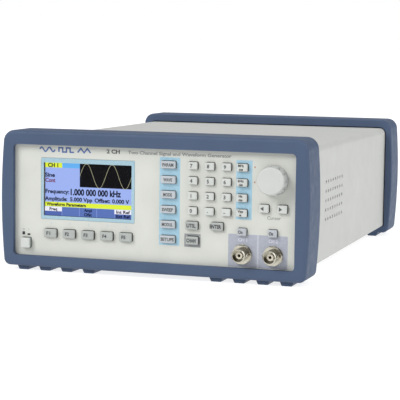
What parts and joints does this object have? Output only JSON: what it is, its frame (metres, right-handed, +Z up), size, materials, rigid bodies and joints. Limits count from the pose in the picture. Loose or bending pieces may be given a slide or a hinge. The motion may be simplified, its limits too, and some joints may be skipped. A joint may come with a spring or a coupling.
{
  "type": "function generator",
  "caption": "Bench function generator: wide low metal case between two moulded bumpers, with a colour display, push keys, a tuning knob and coaxial outputs on its front.",
  "frame": {"origin": "on the surface the feet stand on, below the middle of the bounding box", "axes": "+Z up; the control panel faces -Y, so +Y runs to the rear; +X is to the right of a person facing the control panel"},
  "size_m": [0.2306, 0.333, 0.1019],
  "materials": {
    "bumper_rubber": "satin moulded",
    "cover_paint": "fine texture",
    "zinc_sheet": "zinc plated",
    "panel_plastic": "fine matt",
    "rear_paint": "fine texture",
    "window_lens": "clear",
    "display_screen": "glossy screen",
    "board_green": "solder mask",
    "nickel": "bright nickel",
    "steel": "plated",
    "knob_plastic": "satin",
    "insulator_white": "waxy white",
    "gold_contact": "gold plated",
    "black_plastic": "satin black",
    "brass": "turned",
    "ribbon_grey": "flexible",
    "key_light": "satin keycap",
    "key_grey": "satin keycap"
  },
  "bodies": {
    "chassis": {"front_bumper": "bumper_rubber", "rear_bumper": "bumper_rubber", "top_cover": "cover_paint", "chassis_tray": "zinc_sheet", "front_panel": "panel_plastic", "rear_panel": "rear_paint", "display_window": "window_lens", "display_module": "display_screen", "keypad_board": "board_green", "encoder_body": "nickel", "bnc_shells": "nickel", "bnc_insulators": "insulator_white", "bnc_contacts": "gold_contact", "panel_nuts": "nickel", "mains_inlet": "black_plastic", "mains_pins": "nickel", "fan_frame": "black_plastic", "main_board": "board_green", "power_supply": "board_green", "board_standoffs": "brass", "ribbon_cable": "ribbon_grey", "chassis_screws": "steel"},
    "key_power": {"key_power": "key_light"},
    "key_f1": {"key_f1": "key_grey"},
    "key_f2": {"key_f2": "key_grey"},
    "key_f3": {"key_f3": "key_grey"},
    "key_f4": {"key_f4": "key_grey"},
    "key_f5": {"key_f5": "key_grey"},
    "key_param": {"key_param": "key_light"},
    "key_wave": {"key_wave": "key_light"},
    "key_mode": {"key_mode": "key_light"},
    "key_sweep": {"key_sweep": "key_light"},
    "key_modulation": {"key_modulation": "key_light"},
    "key_setups": {"key_setups": "key_light"},
    "key_digit_0": {"key_digit_0": "key_light"},
    "key_digit_1": {"key_digit_1": "key_light"},
    "key_digit_2": {"key_digit_2": "key_light"},
    "key_digit_3": {"key_digit_3": "key_light"},
    "key_digit_4": {"key_digit_4": "key_light"},
    "key_digit_5": {"key_digit_5": "key_light"},
    "key_digit_6": {"key_digit_6": "key_light"},
    "key_digit_7": {"key_digit_7": "key_light"},
    "key_digit_8": {"key_digit_8": "key_light"},
    "key_digit_9": {"key_digit_9": "key_light"},
    "key_point": {"key_point": "key_light"},
    "key_sign": {"key_sign": "key_light"},
    "key_unit_1": {"key_unit_1": "key_light"},
    "key_unit_2": {"key_unit_2": "key_light"},
    "key_unit_3": {"key_unit_3": "key_light"},
    "key_unit_4": {"key_unit_4": "key_light"},
    "key_utility": {"key_utility": "key_grey"},
    "key_enter": {"key_enter": "key_grey"},
    "key_channel": {"key_channel": "key_grey"},
    "key_cursor_left": {"key_cursor_left": "key_light"},
    "key_cursor_right": {"key_cursor_right": "key_light"},
    "key_output_1": {"key_output_1": "key_light"},
    "key_output_2": {"key_output_2": "key_light"},
    "tuning_knob": {"tuning_knob": "knob_plastic", "encoder_shaft": "steel"},
    "fan_rotor": {"fan_rotor": "black_plastic"}
  },
  "joints": [
    {"name": "key_power_press", "type": "slide", "parent": "chassis", "child": "key_power", "axis": [0, 1, 0], "range_m": [0, 0.0025], "stiffness_N_per_m": 800},
    {"name": "key_f1_press", "type": "slide", "parent": "chassis", "child": "key_f1", "axis": [0, 1, 0], "range_m": [0, 0.0012], "stiffness_N_per_m": 800},
    {"name": "key_f2_press", "type": "slide", "parent": "chassis", "child": "key_f2", "axis": [0, 1, 0], "range_m": [0, 0.0012], "stiffness_N_per_m": 800},
    {"name": "key_f3_press", "type": "slide", "parent": "chassis", "child": "key_f3", "axis": [0, 1, 0], "range_m": [0, 0.0012], "stiffness_N_per_m": 800},
    {"name": "key_f4_press", "type": "slide", "parent": "chassis", "child": "key_f4", "axis": [0, 1, 0], "range_m": [0, 0.0012], "stiffness_N_per_m": 800},
    {"name": "key_f5_press", "type": "slide", "parent": "chassis", "child": "key_f5", "axis": [0, 1, 0], "range_m": [0, 0.0012], "stiffness_N_per_m": 800},
    {"name": "key_param_press", "type": "slide", "parent": "chassis", "child": "key_param", "axis": [0, 1, 0], "range_m": [0, 0.0012], "stiffness_N_per_m": 800},
    {"name": "key_wave_press", "type": "slide", "parent": "chassis", "child": "key_wave", "axis": [0, 1, 0], "range_m": [0, 0.0012], "stiffness_N_per_m": 800},
    {"name": "key_mode_press", "type": "slide", "parent": "chassis", "child": "key_mode", "axis": [0, 1, 0], "range_m": [0, 0.0012], "stiffness_N_per_m": 800},
    {"name": "key_sweep_press", "type": "slide", "parent": "chassis", "child": "key_sweep", "axis": [0, 1, 0], "range_m": [0, 0.0012], "stiffness_N_per_m": 800},
    {"name": "key_modulation_press", "type": "slide", "parent": "chassis", "child": "key_modulation", "axis": [0, 1, 0], "range_m": [0, 0.0012], "stiffness_N_per_m": 800},
    {"name": "key_setups_press", "type": "slide", "parent": "chassis", "child": "key_setups", "axis": [0, 1, 0], "range_m": [0, 0.0012], "stiffness_N_per_m": 800},
    {"name": "key_digit_0_press", "type": "slide", "parent": "chassis", "child": "key_digit_0", "axis": [0, 1, 0], "range_m": [0, 0.0012], "stiffness_N_per_m": 800},
    {"name": "key_digit_1_press", "type": "slide", "parent": "chassis", "child": "key_digit_1", "axis": [0, 1, 0], "range_m": [0, 0.0012], "stiffness_N_per_m": 800},
    {"name": "key_digit_2_press", "type": "slide", "parent": "chassis", "child": "key_digit_2", "axis": [0, 1, 0], "range_m": [0, 0.0012], "stiffness_N_per_m": 800},
    {"name": "key_digit_3_press", "type": "slide", "parent": "chassis", "child": "key_digit_3", "axis": [0, 1, 0], "range_m": [0, 0.0012], "stiffness_N_per_m": 800},
    {"name": "key_digit_4_press", "type": "slide", "parent": "chassis", "child": "key_digit_4", "axis": [0, 1, 0], "range_m": [0, 0.0012], "stiffness_N_per_m": 800},
    {"name": "key_digit_5_press", "type": "slide", "parent": "chassis", "child": "key_digit_5", "axis": [0, 1, 0], "range_m": [0, 0.0012], "stiffness_N_per_m": 800},
    {"name": "key_digit_6_press", "type": "slide", "parent": "chassis", "child": "key_digit_6", "axis": [0, 1, 0], "range_m": [0, 0.0012], "stiffness_N_per_m": 800},
    {"name": "key_digit_7_press", "type": "slide", "parent": "chassis", "child": "key_digit_7", "axis": [0, 1, 0], "range_m": [0, 0.0012], "stiffness_N_per_m": 800},
    {"name": "key_digit_8_press", "type": "slide", "parent": "chassis", "child": "key_digit_8", "axis": [0, 1, 0], "range_m": [0, 0.0012], "stiffness_N_per_m": 800},
    {"name": "key_digit_9_press", "type": "slide", "parent": "chassis", "child": "key_digit_9", "axis": [0, 1, 0], "range_m": [0, 0.0012], "stiffness_N_per_m": 800},
    {"name": "key_point_press", "type": "slide", "parent": "chassis", "child": "key_point", "axis": [0, 1, 0], "range_m": [0, 0.0012], "stiffness_N_per_m": 800},
    {"name": "key_sign_press", "type": "slide", "parent": "chassis", "child": "key_sign", "axis": [0, 1, 0], "range_m": [0, 0.0012], "stiffness_N_per_m": 800},
    {"name": "key_unit_1_press", "type": "slide", "parent": "chassis", "child": "key_unit_1", "axis": [0, 1, 0], "range_m": [0, 0.0012], "stiffness_N_per_m": 800},
    {"name": "key_unit_2_press", "type": "slide", "parent": "chassis", "child": "key_unit_2", "axis": [0, 1, 0], "range_m": [0, 0.0012], "stiffness_N_per_m": 800},
    {"name": "key_unit_3_press", "type": "slide", "parent": "chassis", "child": "key_unit_3", "axis": [0, 1, 0], "range_m": [0, 0.0012], "stiffness_N_per_m": 800},
    {"name": "key_unit_4_press", "type": "slide", "parent": "chassis", "child": "key_unit_4", "axis": [0, 1, 0], "range_m": [0, 0.0012], "stiffness_N_per_m": 800},
    {"name": "key_utility_press", "type": "slide", "parent": "chassis", "child": "key_utility", "axis": [0, 1, 0], "range_m": [0, 0.0012], "stiffness_N_per_m": 800},
    {"name": "key_enter_press", "type": "slide", "parent": "chassis", "child": "key_enter", "axis": [0, 1, 0], "range_m": [0, 0.0012], "stiffness_N_per_m": 800},
    {"name": "key_channel_press", "type": "slide", "parent": "chassis", "child": "key_channel", "axis": [0, 1, 0], "range_m": [0, 0.0012], "stiffness_N_per_m": 800},
    {"name": "key_cursor_left_press", "type": "slide", "parent": "chassis", "child": "key_cursor_left", "axis": [0, 1, 0], "range_m": [0, 0.0012], "stiffness_N_per_m": 800},
    {"name": "key_cursor_right_press", "type": "slide", "parent": "chassis", "child": "key_cursor_right", "axis": [0, 1, 0], "range_m": [0, 0.0012], "stiffness_N_per_m": 800},
    {"name": "key_output_1_press", "type": "slide", "parent": "chassis", "child": "key_output_1", "axis": [0, 1, 0], "range_m": [0, 0.0012], "stiffness_N_per_m": 800},
    {"name": "key_output_2_press", "type": "slide", "parent": "chassis", "child": "key_output_2", "axis": [0, 1, 0], "range_m": [0, 0.0012], "stiffness_N_per_m": 800},
    {"name": "tuning_knob_turn", "type": "hinge", "parent": "chassis", "child": "tuning_knob", "pos_m": [0.0888, -0.16, 0.0729], "axis": [0, 1, 0], "continuous": true},
    {"name": "fan_spin", "type": "hinge", "parent": "chassis", "child": "fan_rotor", "pos_m": [0.062, 0.15, 0.0515], "axis": [0, 1, 0], "continuous": true}
  ]
}
